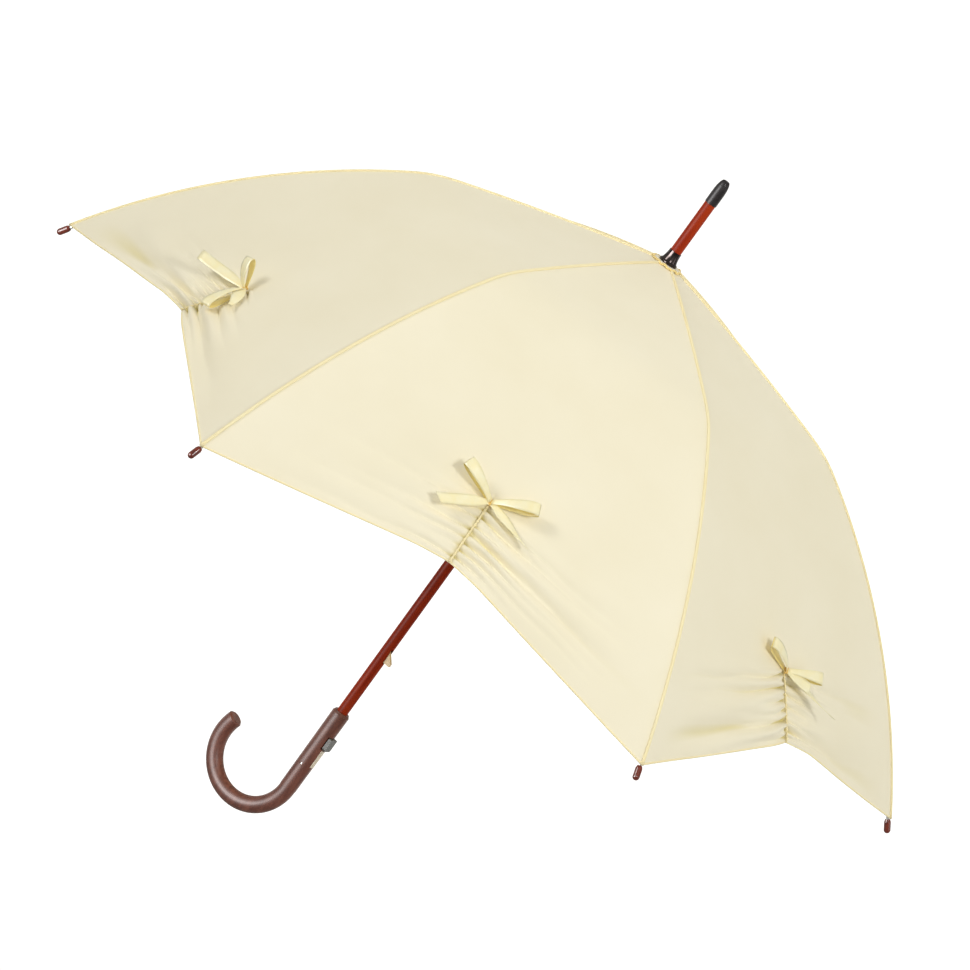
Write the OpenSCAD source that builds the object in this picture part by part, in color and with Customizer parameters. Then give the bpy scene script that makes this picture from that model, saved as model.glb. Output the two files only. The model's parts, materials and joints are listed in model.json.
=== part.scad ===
// Child's stick umbrella with six ribs, a crook handle and a pointed canopy whose hem is
// gathered up under a ribbon bow in the middle of each panel. It is drawn open.
// Origin: on the shaft's axis, at the middle of the straight grip. +Z runs up to the ferrule.
// Rib 1 points along -X, over the crook, and the others follow anticlockwise seen from above.

/* [Canopy] */
// Cloth length along a rib from the crown to the knuckle
inner_cloth = 175; // [145:1:210]
// Cloth length along a rib from the knuckle to the corner
outer_cloth = 285; // [235:1:345]
// Slope of the cloth at the crown, in degrees below level
crown_slope = 13; // [10:1:15]
// Slope of the cloth just above the knuckle
shoulder_slope = 18; // [17:1:22]
// Slope of the cloth just below the knuckle
outer_slope = 31; // [26:1:35]
// Slope of the cloth at its corner
corner_slope = 57; // [48:1:62]
// Radius at which the cloth starts round the shaft
crown_hole_r = 11.5; // [10:0.5:16]
// Thickness of a panel with its seams
cloth_t = 0.4; // [0.2:0.1:1]
// How far the gathered hem is drawn in at the middle of a panel
hem_notch = 20; // [8:1:30]
// Gap between two panels, where the seam lies
seam_gap = 0.4; // [0.3:0.1:0.8]
// Distance of a bow's knot from the hem, along the gather
gather_len = 58; // [40:1:65]
// Width of the bow ribbon
ribbon_w = 9; // [6:1:12]
// Length of a bow's loop
loop_len = 34; // [24:1:40]
// Length of a bow's tail
tail_len = 38; // [26:1:46]
// Length of the closing strap below the hem
strap_len = 70; // [50:1:90]
// Width of the closing strap
strap_w = 14; // [10:1:20]

/* [Ribs] */
// Diameter of an outer rib rod
rod_d = 2.4; // [1.8:0.1:3]
// Width of the folded channels of the inner ribs and stretchers
channel_w = 3; // [2.4:0.1:3.6]
// Height of those channels
channel_h = 2.6; // [2:0.1:3.2]
// Sheet thickness of those channels
channel_t = 0.5; // [0.3:0.05:0.7]
// Gap between the cloth and the ribs
cloth_gap = 0.7; // [0.5:0.1:1.2]
// Depth of the knuckle pin under the cloth
knuckle_drop = 6.2; // [5.5:0.1:8]
// Diameter of the knuckle pins
pin_d = 1.6; // [1.2:0.1:2]
// Diameter of every hinge eye
eye_d = 3.8; // [3.4:0.1:4.8]
// Thickness of the blades that carry the eyes
blade_t = 1.6; // [1.2:0.1:2]
// Thickness of each fork ear
ear_t = 0.8; // [0.5:0.1:1.2]
// Diameter of the cap on a rib's end
tip_d = 5.3; // [4.4:0.1:7]
// Length of that cap
tip_len = 11; // [9:0.5:15]
// Depth of the rod in its cap
tip_socket = 7; // [5:0.5:8]
// Lean of a closed inner rib from the shaft, in degrees
closed_lean = 3; // [2:0.5:5]

/* [Shaft] */
// Outer diameter of the shaft
shaft_d = 9; // [7:0.2:10]
// Wall of the shaft tube
shaft_wall = 0.6; // [0.4:0.1:0.8]
// Length of bare shaft between the crown and the ferrule
top_shaft = 57; // [40:1:70]
// Wall of the ferrule round the shaft
ferrule_wall = 0.4; // [0.3:0.1:2]
// Length of the ferrule
ferrule_len = 21; // [16:1:30]
// Height of the crown cap
cap_h = 12; // [8:1:16]
// Radius of the crown cap's foot
cap_r = 7.5; // [7:0.5:11]
// Radius of the cloth rosette under the crown cap
rosette_r = 12; // [10:0.5:18]
// Diameter of the wires that the ribs and stretchers hang on
wire_d = 1.3; // [1:0.1:1.5]
// Wall of the runner and of the top notch round the shaft
hub_wall = 0.9; // [0.6:0.1:1.4]
// Length of the runner below its slotted disc
runner_skirt = 25; // [20:1:34]
// Length of the runner above its slotted disc
runner_neck = 8; // [5:1:12]

/* [Handle] */
// Height of the handle's top above the origin
grip_top = 42; // [36:1:50]
// Depth of the crook's start below the origin
grip_bottom = 31.5; // [24:0.5:36]
// Diameter of the grip at its top
grip_d = 14.6; // [13:0.5:18]
// Diameter of the crook
crook_d = 13.6; // [11.5:0.5:16]
// Radius of the crook's centre line
crook_r = 35.5; // [27:0.1:38]
// Sweep of the crook, in degrees
crook_sweep = 203; // [180:1:225]
// Height of the catch nose above the handle's top
nose_rise = 51; // [42:1:61]
// Length of the catch nose
nose_len = 10; // [8:0.5:12]
// How far the catch nose stands out of the shaft
nose_out = 5; // [3:0.1:5]
// Height of the push button's middle above the origin
button_z = 15.5; // [13:0.5:18]
// Height of the push button
button_h = 11; // [9:0.5:13]
// Width of the push button
button_w = 9.5; // [7:0.5:10]
// Travel of the push button
button_travel = 1; // [0.8:0.1:1.1]
// Height of the name plate, which is blank
plate_h = 16; // [12:1:17]
// Width of the name plate
plate_w = 6.5; // [4:0.5:7]

/* [Fits] */
// Radial clearance of a pin in its bore
run_gap = 0.05; // [0.03:0.01:0.08]
// Radial clearance of a blade's bore on its bent wire
wire_gap = 0.1; // [0.08:0.01:0.12]
// Clearance between pieces that pass each other
side_gap = 0.3; // [0.2:0.05:0.5]

/* [Hidden] */
ribs = 6;
sector = 360 / ribs;
half_sector = sector / 2;
first_rib = 202;

$fn = 64;
eps = 0.01;
steps = 8;

// Arcs of the cloth over a rib, as [radius from the shaft, height over the crown].
inner_arc_r = inner_cloth / ((shoulder_slope - crown_slope) * PI / 180);
outer_arc_r = outer_cloth / ((corner_slope - outer_slope) * PI / 180);
function outward(slope) = [sin(slope), cos(slope)];
inner_arc_c = [crown_hole_r, 0] - inner_arc_r * outward(crown_slope);
function inner_at(slope, depth) = inner_arc_c + (inner_arc_r - depth) * outward(slope);
outer_arc_c = inner_at(shoulder_slope, 0) - outer_arc_r * outward(outer_slope);
function outer_at(slope, depth) = outer_arc_c + (outer_arc_r - depth) * outward(slope);
function inner_slope_at(s) = crown_slope + s / inner_arc_r * 180 / PI;
function outer_slope_at(s) = outer_slope + s / outer_arc_r * 180 / PI;

// Hub sizes. The ribs and stretchers hang on a ring of wire of this radius.
shaft_r = shaft_d / 2;
bore_r = shaft_r - shaft_wall;
eye_r = eye_d / 2;
hub_r = shaft_r + hub_wall;
ring_r = hub_r + 0.2 + eye_r;
disc_r = ring_r + eye_r - side_gap;
slot_w = blade_t + 2 * side_gap;
wire_r = wire_d / 2;

// The linkage: notch wire, knuckle pin and runner wire, over the crown.
notch_drop = 6;
notch_at = [ring_r, -notch_drop];
knuckle_at = inner_at(shoulder_slope, 0) - knuckle_drop * outward(crown_slope);
runner_at = [ring_r, 2 * knuckle_at.y - notch_at.y];
link_len = norm(knuckle_at - notch_at);

// The shaft is as long as the closed ribs need, from the catch nose to the crown.
nose_z = grip_top + nose_rise;
latch_gap = 0.5;
runner_closed_z = nose_z + nose_len + 5.5;
notch_z = runner_closed_z + 2 * link_len * cos(closed_lean);
crown_z = notch_z + notch_drop;
runner_z = crown_z + runner_at.y;
ferrule_z = crown_z + top_shaft;
ferrule_grip = ferrule_len - 11;
ferrule_socket = ferrule_len - 10;
ferrule_r = shaft_r + ferrule_wall;
shaft_end_z = -20;
pivot_z = -8;
cross_pin_r = 0.75;
cross_pin_z = 4;
anchor_z = notch_z - 14;

// Depths under the cloth.
channel_depth = cloth_t + cloth_gap;
blade_h = channel_h - channel_t;
blade_depth = channel_depth + channel_t / 2 + blade_h / 2;
rod_depth = cloth_t + cloth_gap + rod_d / 2;
rod_r = rod_d / 2;
spigot_r = rod_r - 0.2;
tip_start = 0.8;
fork_in = blade_t / 2 + side_gap;
fork_out = fork_in + ear_t;
yoke_in = fork_out + side_gap;
yoke_out = yoke_in + ear_t;
knuckle_pin_half = yoke_out + 0.1;
head_t = 0.5;

// Canopy sizes, in the middle plane of a panel.
narrow = cos(half_sector);
corner_x = outer_at(corner_slope, 0).x * narrow;
fold_x = inner_at(shoulder_slope, 0).x * narrow;
hem_x = corner_x - hem_notch;

// Slope at which the outer arc reaches a distance from the shaft.
function slope_at_x(x) = asin((x / narrow - outer_arc_c.x) / outer_arc_r);
hem_slope = slope_at_x(hem_x);
knot_slope = hem_slope - gather_len / outer_arc_r * 180 / PI;
function panel_point(slope) = [outer_at(slope, 0).x * narrow, outer_at(slope, 0).y];
function panel_slope(slope) = atan(tan(slope) / narrow);

function rib_angle(k) = first_rib + (k - 1) * sector;
function panel_angle(k) = rib_angle(k) + half_sector;

// Puts a radial profile, drawn as distance and height, at a rib's angle.
module at_rib(k) rotate([0, 0, rib_angle(k)]) translate([0, 0, crown_z]) children();
module radial(width) rotate([90, 0, 0]) linear_extrude(height = width, center = true) children();

// A straight bar between two points of a profile.
module bar(p, q, width) {
    d = q - p;
    translate(p) rotate(atan2(d.y, d.x)) translate([0, -width / 2]) square([norm(d), width]);
}

// Sweeps a profile, drawn about the rib's own line, along one of the two arcs.
module arc_sweep(centre, radius, from_slope, to_slope)
    translate([centre.x, 0, centre.y]) rotate([90, 0, 0]) rotate([0, 0, 90 - to_slope])
        rotate_extrude(angle = to_slope - from_slope, $fn = 360) translate([radius, 0]) children();

// The folded channel, open towards the shaft, with its top at the origin.
module channel_section() translate([-channel_h, 0]) difference() {
    translate([0, -channel_w / 2]) square([channel_h, channel_w]);
    translate([-eps, -channel_w / 2 + channel_t])
        square([channel_h - channel_t + eps, channel_w - 2 * channel_t]);
}

module rib_inner(k) color("silver") at_rib(k) {
    start = 9;
    end = inner_cloth - 8;
    arc_sweep(inner_arc_c, inner_arc_r - channel_depth, inner_slope_at(start), inner_slope_at(end))
        channel_section();
    difference() {
        radial(blade_t) {
            translate(notch_at) circle(eye_r);
            translate(knuckle_at) circle(eye_r);
            for (ends = [[notch_at, start + 3, start + 12], [knuckle_at, end - 3, end - 12]]) {
                root = inner_at(inner_slope_at(ends[1]), blade_depth);
                bar(ends[0], root, blade_h);
                translate(root) circle(blade_h / 2);
                bar(root, inner_at(inner_slope_at(ends[2]), blade_depth), blade_h);
            }
        }
        translate([notch_at.x, 0, notch_at.y]) rotate([90, 0, 0])
            cylinder(h = 2 * blade_t, r = wire_r + wire_gap, center = true);
    }
    // The knuckle's rivet is closed over the fork of the stretcher.
    translate([knuckle_at.x, 0, knuckle_at.y]) rotate([90, 0, 0]) {
        cylinder(h = 2 * knuckle_pin_half, d = pin_d, center = true);
        for (side = [0, 1]) mirror([0, 0, side]) translate([0, 0, knuckle_pin_half])
            cylinder(h = head_t, r = eye_r - 0.6);
    }
}

// Two fork ears with a running bore, between the given half widths, on arms of the given height.
module fork(inside, outside, to_point, arm_h) difference() {
    for (side = [-1, 1]) translate([0, side * (inside + outside) / 2, 0])
        radial(outside - inside) {
            translate(knuckle_at) circle(eye_r);
            bar(knuckle_at, to_point, arm_h);
        }
    translate([knuckle_at.x, 0, knuckle_at.y]) rotate([90, 0, 0])
        cylinder(h = 4 * outside, r = pin_d / 2 + run_gap, center = true);
}

module rib_outer(k) color("silver") at_rib(k) {
    root = 8;
    yoke_len = 6;
    arc_sweep(outer_arc_c, outer_arc_r - rod_depth, outer_slope_at(root), corner_slope)
        circle(rod_r, $fn = 48);
    arc_sweep(outer_arc_c, outer_arc_r - rod_depth, outer_slope_at(root),
              outer_slope_at(root + yoke_len))
        translate([-rod_r - 0.4, -fork_out]) square([rod_d + 0.2, 2 * fork_out]);
    fork(fork_in, fork_out, outer_at(outer_slope_at(root + 2), rod_depth + 0.3), rod_d);
    end = outer_at(corner_slope, rod_depth);
    translate([end.x, 0, end.y]) rotate([0, 90 + corner_slope, 0]) translate([0, 0, -1])
        cylinder(h = 1 + tip_start + tip_socket, r = spigot_r, $fn = 48);
}

// A turned wooden bead with a round nose and a blind bore for the rod.
module rib_tip(k) color("sienna") at_rib(k) {
    end = outer_at(corner_slope, rod_depth);
    tip_r = tip_d / 2;
    neck_r = rod_r + 0.75;
    translate([end.x, 0, end.y]) rotate([0, 90 + corner_slope, 0]) translate([0, 0, tip_start])
        rotate_extrude() difference() {
            union() {
                polygon([[0, 0], [neck_r, 0], [tip_r, 2], [tip_r, tip_len - tip_r],
                         [0, tip_len - tip_r]]);
                intersection() {
                    translate([0, tip_len - tip_r]) circle(tip_r);
                    translate([0, tip_len - tip_r]) square([tip_r, tip_r]);
                }
            }
            square([spigot_r, tip_socket]);
        }
}

module stretcher(k) color("silver") at_rib(k) {
    line = knuckle_at - runner_at;
    along = line / norm(line);
    yoke_at = 13;
    yoke_len = 5;
    yoke_edge = 0.1;
    yoke_root = knuckle_at - along * (yoke_at + 2);
    translate([runner_at.x, 0, runner_at.y]) rotate([0, -atan2(line.y, line.x), 0]) {
        translate([8, 0, channel_h / 2]) rotate([0, 90, 0])
            linear_extrude(height = norm(line) - yoke_at - 8) rotate(180) channel_section();
        translate([norm(line) - yoke_at - yoke_len, -yoke_out, -channel_h / 2 - yoke_edge])
            cube([yoke_len + 0.5, 2 * yoke_out, channel_h + 2 * yoke_edge]);
    }
    fork(yoke_in, yoke_out, yoke_root, channel_h);
    difference() {
        radial(blade_t) {
            translate(runner_at) circle(eye_r);
            bar(runner_at, runner_at + along * 16, blade_h);
        }
        translate([runner_at.x, 0, runner_at.y]) rotate([90, 0, 0])
            cylinder(h = 2 * blade_t, r = wire_r + wire_gap, center = true);
    }
}

// Half of a panel: a thin sheet bent over its ribs, straight across, trimmed to its sector.
module panel_sheet(profile, outline) intersection() {
    rotate([90, 0, 0]) linear_extrude(height = 3 * corner_x, center = true)
        polygon(concat(profile, [for (i = [len(profile) - 1:-1:0]) profile[i] - [0, cloth_t]]));
    translate([0, 0, -2 * outer_cloth]) linear_extrude(height = 3 * outer_cloth) polygon(outline);
}

// Half the width of a panel at a distance out in its middle plane.
function half_width(x) = x * tan(half_sector) - seam_gap / 2 / narrow;

module canopy_upper(k) color("lemonchiffon") rotate([0, 0, panel_angle(k)])
    translate([0, 0, crown_z]) {
        first = crown_hole_r * narrow;
        last = fold_x - seam_gap / 2;
        panel_sheet([for (i = [0:steps])
                        let (p = inner_at(crown_slope + (shoulder_slope - crown_slope) * i / steps, 0))
                        [p.x * narrow, p.y]],
                    [[first, -half_width(first)], [last, -half_width(last)],
                     [last, half_width(last)], [first, half_width(first)]]);
    }

module canopy_lower(k) color("lemonchiffon") rotate([0, 0, panel_angle(k)])
    translate([0, 0, crown_z]) {
        first = fold_x + seam_gap / 2;
        panel_sheet([for (i = [0:steps])
                        panel_point(outer_slope + (corner_slope - outer_slope) * i / steps)],
                    [[first, -half_width(first)], [corner_x, -half_width(corner_x)], [hem_x, 0],
                     [corner_x, half_width(corner_x)], [first, half_width(first)]]);
    }

// Stands children on a panel: x down the slope, y across it and z away from the cloth.
module on_panel(k, slope, across = 0) {
    p = panel_point(slope);
    rotate([0, 0, panel_angle(k)]) translate([p.x, across, crown_z + p.y])
        rotate([0, panel_slope(slope), 0]) children();
}

// A flat ribbon bow: two loops and two tails on a knot.
module bow(k) color("khaki") on_panel(k, knot_slope) translate([0, 0, 0.3]) {
    loop_h = 7;
    tail_h = 1.2;
    cylinder(h = loop_h, d = ribbon_w);
    for (side = [-1, 1]) {
        rotate([0, 0, side * 115]) linear_extrude(height = loop_h)
            polygon([[2, -2], [2, 2], [loop_len, ribbon_w / 2], [loop_len, -ribbon_w / 2]]);
        rotate([0, 0, side * 60]) linear_extrude(height = tail_h)
            polygon([[2, -2], [2, 2], [tail_len, ribbon_w / 2], [tail_len, -ribbon_w / 2]]);
    }
}

// The band that ties the closed canopy, sewn to the hem of the panel opposite the front.
strap_panel = 5;
strap_across = 60;
module closing_strap() color("khaki") {
    x = corner_x - hem_notch * (1 - strap_across / half_width(corner_x));
    on_panel(strap_panel, slope_at_x(x), strap_across)
        translate([-8, -strap_w / 2, 0.3]) cube([strap_len + 8, strap_w, cloth_t]);
}

module shaft() color("saddlebrown") difference() {
    translate([0, 0, shaft_end_z])
        cylinder(h = ferrule_z + ferrule_socket - shaft_end_z, r = shaft_r);
    translate([0, 0, shaft_end_z - 1])
        cylinder(h = ferrule_z + ferrule_len + 1 - shaft_end_z, r = bore_r);
    // Window for the catch nose, hole for the button's stem and slot for the runner's pin.
    translate([0, -nose_window_w / 2, nose_z - 1]) cube([shaft_d, nose_window_w, nose_len + 3]);
    translate([0, 0, button_z]) rotate([0, 90, 0]) cylinder(h = shaft_d, r = stem_r + 0.4);
    translate([-cross_pin_r - side_gap, 0, runner_closed_z + cross_pin_z - 2])
        cube([2 * (cross_pin_r + side_gap), shaft_d, runner_z - runner_closed_z + 4]);
    for (z = [pivot_z, anchor_z]) translate([0, 0, z]) rotate([90, 0, 0])
        cylinder(h = 2 * shaft_d, r = cross_pin_r, center = true, $fn = 32);
}

// A cap on the shaft's top, straight at its foot and drawn in to a rounded nose.
module ferrule() color("dimgray") translate([0, 0, ferrule_z]) {
    nose_r = 2;
    rotate_extrude() difference() {
        polygon(concat([[0, 0], [ferrule_r, 0]],
                       [for (i = [0:steps])
                           let (a = 90 * i / steps)
                           [nose_r + (ferrule_r - nose_r) * cos(a),
                            ferrule_grip + (ferrule_len - ferrule_grip) * sin(a)]],
                       [[0, ferrule_len]]));
        translate([-1, -1]) square([shaft_r + 1, ferrule_socket + 1]);
    }
}

rosette_t = 1.2;
rosette_z = crown_z + 0.3;
module crown_rosette() color("khaki") translate([0, 0, rosette_z]) difference() {
    cylinder(h = rosette_t, r = rosette_r);
    translate([0, 0, -1]) cylinder(h = rosette_t + 2, r = shaft_r);
}

// A flared metal cap that holds the cloth down on the notch.
module crown_cap() color("dimgray") translate([0, 0, rosette_z + rosette_t]) {
    rise = cap_h - rosette_t;
    foot = 1.5;
    neck_r = shaft_r + 0.6;
    rotate_extrude() difference() {
        polygon(concat([[0, 0], [cap_r, 0], [cap_r, foot]],
                       [for (i = [1:steps])
                           let (t = i / steps)
                           [neck_r + (cap_r - 0.8 - neck_r) * pow(1 - t, 2),
                            foot + (rise - foot) * t]],
                       [[0, rise]]));
        translate([-1, -1]) square([shaft_r + 1, rise + 2]);
    }
}

// A slotted disc with a groove for the ring of wire that the eyes hang on.
module slotted_disc() difference() {
    translate([0, 0, -eye_r]) cylinder(h = eye_d, r = disc_r);
    translate([0, 0, -wire_r - run_gap]) difference() {
        cylinder(h = eye_d, r = ring_r + wire_r + run_gap);
        translate([0, 0, -1]) cylinder(h = eye_d + 2, r = ring_r - wire_r - run_gap);
    }
    for (k = [1:ribs]) rotate([0, 0, rib_angle(k)]) translate([hub_r, -slot_w / 2, -eye_d])
        cube([disc_r, slot_w, 2 * eye_d]);
}

module top_notch() color("silver") translate([0, 0, notch_z]) difference() {
    union() {
        slotted_disc();
        translate([0, 0, -9]) cylinder(h = 9 + notch_drop, r = hub_r);
    }
    translate([0, 0, -10]) cylinder(h = 20 + notch_drop, r = shaft_r);
}

module wire_ring() rotate_extrude() translate([ring_r, 0]) circle(wire_r, $fn = 32);
module notch_wire() color("gray") translate([0, 0, notch_z]) wire_ring();
module runner_wire() color("gray") translate([0, 0, runner_z]) wire_ring();

module runner() color("saddlebrown") translate([0, 0, runner_z]) difference() {
    union() {
        slotted_disc();
        translate([0, 0, -runner_skirt]) cylinder(h = runner_skirt + runner_neck, r = hub_r);
    }
    translate([0, 0, -runner_skirt - 1])
        cylinder(h = runner_skirt + runner_neck + 2, r = shaft_r + run_gap);
    // The window that the catch nose springs into when the umbrella is shut.
    translate([0, -nose_window_w / 2, nose_z - latch_gap - runner_closed_z])
        cube([2 * hub_r, nose_window_w, nose_len + 1.5]);
    translate([0, 0, cross_pin_z]) rotate([-90, 0, 0])
        cylinder(h = 2 * hub_r, r = cross_pin_r, $fn = 32);
}

module runner_pin() color("gray") translate([0, -bore_r + 0.6, runner_z + cross_pin_z])
    rotate([-90, 0, 0]) cylinder(h = hub_r + bore_r - 0.6, r = cross_pin_r, $fn = 32);

module spring_anchor_pin() color("gray") translate([0, 0, anchor_z]) rotate([90, 0, 0])
    cylinder(h = shaft_d, r = cross_pin_r, center = true, $fn = 32);

// A closed-wound pull spring with an eye at each end, drawn as a stack of rings.
spring_wire = 1;
module opening_spring() color("gray") {
    low = runner_z + cross_pin_z;
    eye_mid_r = cross_pin_r + 0.1 + spring_wire / 2;
    reach = eye_mid_r + 1;
    coil_r = bore_r - 0.4 - spring_wire / 2;
    count = floor((anchor_z - low - 2 * reach) / (0.9 * spring_wire));
    pitch = (anchor_z - low - 2 * reach) / count;
    rotate_extrude() for (i = [0:count])
        translate([coil_r, low + reach + i * pitch]) circle(spring_wire / 2, $fn = 16);
    for (end = [low, anchor_z]) translate([0, 0, end]) rotate([90, 0, 0])
        rotate_extrude() translate([eye_mid_r, 0]) circle(spring_wire / 2, $fn = 16);
    for (z = [low + eye_mid_r - 0.2, anchor_z - reach]) translate([-coil_r, -0.4, z])
        cube([2 * coil_r, 0.8, reach - eye_mid_r + 0.2]);
}

crook_edge = 1.4;
button_face = 9;
button_back = shaft_r + side_gap + button_travel + 0.1;
stem_r = 1.5;
nose_window_w = 4;

// The grip with its crook, bored for the shaft and pocketed for the button and the plate.
module handle() color("rosybrown") difference() {
    union() {
        translate([0, 0, -grip_bottom])
            cylinder(h = grip_bottom + grip_top - 2, d1 = crook_d + 0.4, d2 = grip_d);
        translate([0, 0, grip_top - 2]) cylinder(h = 2, d1 = grip_d, d2 = grip_d - 2.4);
        // The crook runs a few degrees up into the grip.
        translate([-crook_r, 0, -grip_bottom]) rotate([90, 0, 0]) rotate([0, 0, -crook_sweep])
            rotate_extrude(angle = crook_sweep + 3, $fn = 180) translate([crook_r, 0])
                circle(d = crook_d);
    }
    // The crook's end is cut square, with its edge taken off.
    translate([-crook_r, 0, -grip_bottom]) rotate([0, crook_sweep + 180, 0])
        translate([-crook_r, 0, 0]) difference() {
            translate([0, 0, -crook_edge]) cylinder(h = 2 * crook_edge, r = crook_d);
            translate([0, 0, -crook_edge - eps])
                cylinder(h = 2 * crook_edge, r1 = crook_d / 2 + 0.05, r2 = crook_d / 2 - 2 * crook_edge);
        }
    translate([0, 0, shaft_end_z]) cylinder(h = grip_top - shaft_end_z + 1, r = shaft_r);
    button_pocket(side_gap);
    plate_block(plate_t + 1);
    translate([0, 0, pivot_z]) rotate([90, 0, 0])
        cylinder(h = 2 * grip_d, r = cross_pin_r, center = true, $fn = 32);
}

module button_pocket(gap) translate([0, -button_w / 2 - gap, button_z - button_h / 2 - gap])
    cube([grip_d, button_w + 2 * gap, button_h + 2 * gap]);

// A thin blank plate let into the grip under the button.
plate_t = 0.8;
plate_top = button_z - button_h / 2 - 1.2;
module plate_block(depth) translate([crook_d / 2 - plate_t, -plate_w / 2, plate_top - plate_h])
    cube([depth, plate_w, plate_h]);
module button_plate() color("ivory") intersection() {
    plate_block(plate_t + 0.9);
    translate([0, 0, -grip_bottom])
        cylinder(h = grip_bottom + grip_top, d1 = crook_d + 0.6, d2 = grip_d + 0.6);
}

module handle_pin() color("gray") translate([0, 0, pivot_z]) rotate([90, 0, 0])
    cylinder(h = crook_d - 0.8, r = cross_pin_r, center = true, $fn = 32);

module push_button() color("dimgray") {
    round_r = 1.5;
    translate([button_back, 0, button_z]) rotate([0, 90, 0])
        linear_extrude(height = button_face - button_back) {
            square([button_h - 2 * round_r, button_w], center = true);
            square([button_h, button_w - 2 * round_r], center = true);
            for (i = [-1, 1]) for (j = [-1, 1])
                translate([i * (button_h / 2 - round_r), j * (button_w / 2 - round_r)])
                    circle(round_r);
        }
    stem_end = leaf_x(button_z) + leaf_t / 2 + side_gap;
    translate([stem_end, 0, button_z]) rotate([0, 90, 0])
        cylinder(h = button_back - stem_end + 0.5, r = stem_r);
}

// The catch: a leaf inside the shaft, turning on the handle's pin, with a nose at its end.
leaf_t = 0.6;
leaf_w = 3;
leaf_top_x = bore_r - 1.2;
function leaf_x(z) = leaf_top_x * (z - pivot_z) / (nose_z - pivot_z);
module catch_spring() color("goldenrod") difference() {
    radial(leaf_w) {
        translate([0, pivot_z]) circle(1.6);
        bar([0, pivot_z], [leaf_top_x, nose_z + nose_len], leaf_t);
        polygon([[leaf_top_x - 0.2, nose_z], [shaft_r + nose_out, nose_z],
                 [shaft_r + nose_out, nose_z + 2.5], [leaf_top_x - 0.1, nose_z + nose_len]]);
    }
    translate([0, 0, pivot_z]) rotate([90, 0, 0])
        cylinder(h = 2 * leaf_w, r = cross_pin_r + run_gap, center = true, $fn = 32);
}

shaft();
ferrule();
crown_cap();
crown_rosette();
top_notch();
notch_wire();
spring_anchor_pin();
opening_spring();
runner();
runner_wire();
runner_pin();
handle();
handle_pin();
push_button();
button_plate();
catch_spring();
closing_strap();
for (k = [1:ribs]) {
    rib_inner(k);
    rib_outer(k);
    rib_tip(k);
    stretcher(k);
    canopy_upper(k);
    canopy_lower(k);
    bow(k);
}
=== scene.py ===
"""A child's stick umbrella: cloth, ribbons, materials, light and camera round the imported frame."""
import json
import math
import random

import bpy
from mathutils import Matrix, Vector


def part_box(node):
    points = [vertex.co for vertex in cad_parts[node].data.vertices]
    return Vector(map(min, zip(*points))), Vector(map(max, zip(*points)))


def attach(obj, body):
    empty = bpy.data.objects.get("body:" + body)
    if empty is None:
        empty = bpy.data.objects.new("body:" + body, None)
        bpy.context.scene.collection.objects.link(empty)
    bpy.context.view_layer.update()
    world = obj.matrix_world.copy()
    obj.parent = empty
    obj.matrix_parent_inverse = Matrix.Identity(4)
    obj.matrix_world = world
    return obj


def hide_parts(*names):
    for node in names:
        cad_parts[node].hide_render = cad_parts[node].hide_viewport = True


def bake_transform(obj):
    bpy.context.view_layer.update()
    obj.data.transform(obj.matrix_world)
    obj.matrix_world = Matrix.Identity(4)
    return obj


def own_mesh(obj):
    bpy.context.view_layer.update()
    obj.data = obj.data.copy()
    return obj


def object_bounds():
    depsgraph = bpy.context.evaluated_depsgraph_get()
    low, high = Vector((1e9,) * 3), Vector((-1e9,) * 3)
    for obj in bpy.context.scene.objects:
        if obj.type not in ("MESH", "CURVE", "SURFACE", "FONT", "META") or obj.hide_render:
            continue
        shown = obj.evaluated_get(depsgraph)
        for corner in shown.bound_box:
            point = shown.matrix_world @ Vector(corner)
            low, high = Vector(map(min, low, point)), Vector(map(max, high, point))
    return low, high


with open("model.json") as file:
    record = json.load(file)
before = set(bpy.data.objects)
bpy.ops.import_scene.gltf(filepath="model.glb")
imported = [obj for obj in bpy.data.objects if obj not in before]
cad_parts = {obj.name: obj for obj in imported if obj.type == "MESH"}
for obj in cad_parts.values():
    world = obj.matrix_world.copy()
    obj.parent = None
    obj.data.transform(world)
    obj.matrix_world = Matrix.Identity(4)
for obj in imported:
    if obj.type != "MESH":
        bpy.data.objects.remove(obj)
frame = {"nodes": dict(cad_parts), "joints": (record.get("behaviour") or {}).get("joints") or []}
cad_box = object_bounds()

RIBS = 6
SECTOR = math.radians(360 / RIBS)
NARROW = math.cos(SECTOR / 2)
SPREAD = math.tan(SECTOR / 2)
JOINTS = {j["name"]: j for j in frame["joints"]}


def rib_angle(k):
    x, y, _ = JOINTS["canopy_fold"]["pos_m"]
    return math.atan2(y, x) + (k - 1) * SECTOR


def panel_angle(k):
    return rib_angle(k) + SECTOR / 2


# ------------------------------------------------------------------ the canopy's surface

def in_plane(point, angle):
    """A point's distance out along a direction, and its height."""
    return point[0] * math.cos(angle) + point[1] * math.sin(angle), point[2]


CROWN = in_plane(JOINTS["panel_2_fold"]["pos_m"], panel_angle(2))
FOLD = in_plane(JOINTS["panel_2_drop"]["pos_m"], panel_angle(2))
CORNER = (max(in_plane(v.co, panel_angle(2))[0] for v in frame["nodes"]["canopy_2_lower"].data.vertices),
          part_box("canopy_2_lower")[0][2])

# How far the middle of a hem lies inside the line between its corners.
HEM_NOTCH = 0.020

# How far each panel's gather goes up from the hem, and how far across it lies at hem and bow.
GATHERS = {1: (0.050, 0.004, 0.018), 2: (0.057, -0.002, -0.003), 3: (0.054, 0.012, -0.003),
           4: (0.058, -0.004, 0.003), 5: (0.056, 0.003, -0.005), 6: (0.057, 0.005, 0.002)}

# Half the thickness of the cloth.
CLOTH = 0.0002

# Slopes of the cloth over a rib, in degrees below level: at the crown, just above and just below the
# knuckle, and at the corner. The change at the knuckle is eased over SOFTEN to each side.
SLOPES = (13, 18, 31, 57)
SOFTEN = 0.022


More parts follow.
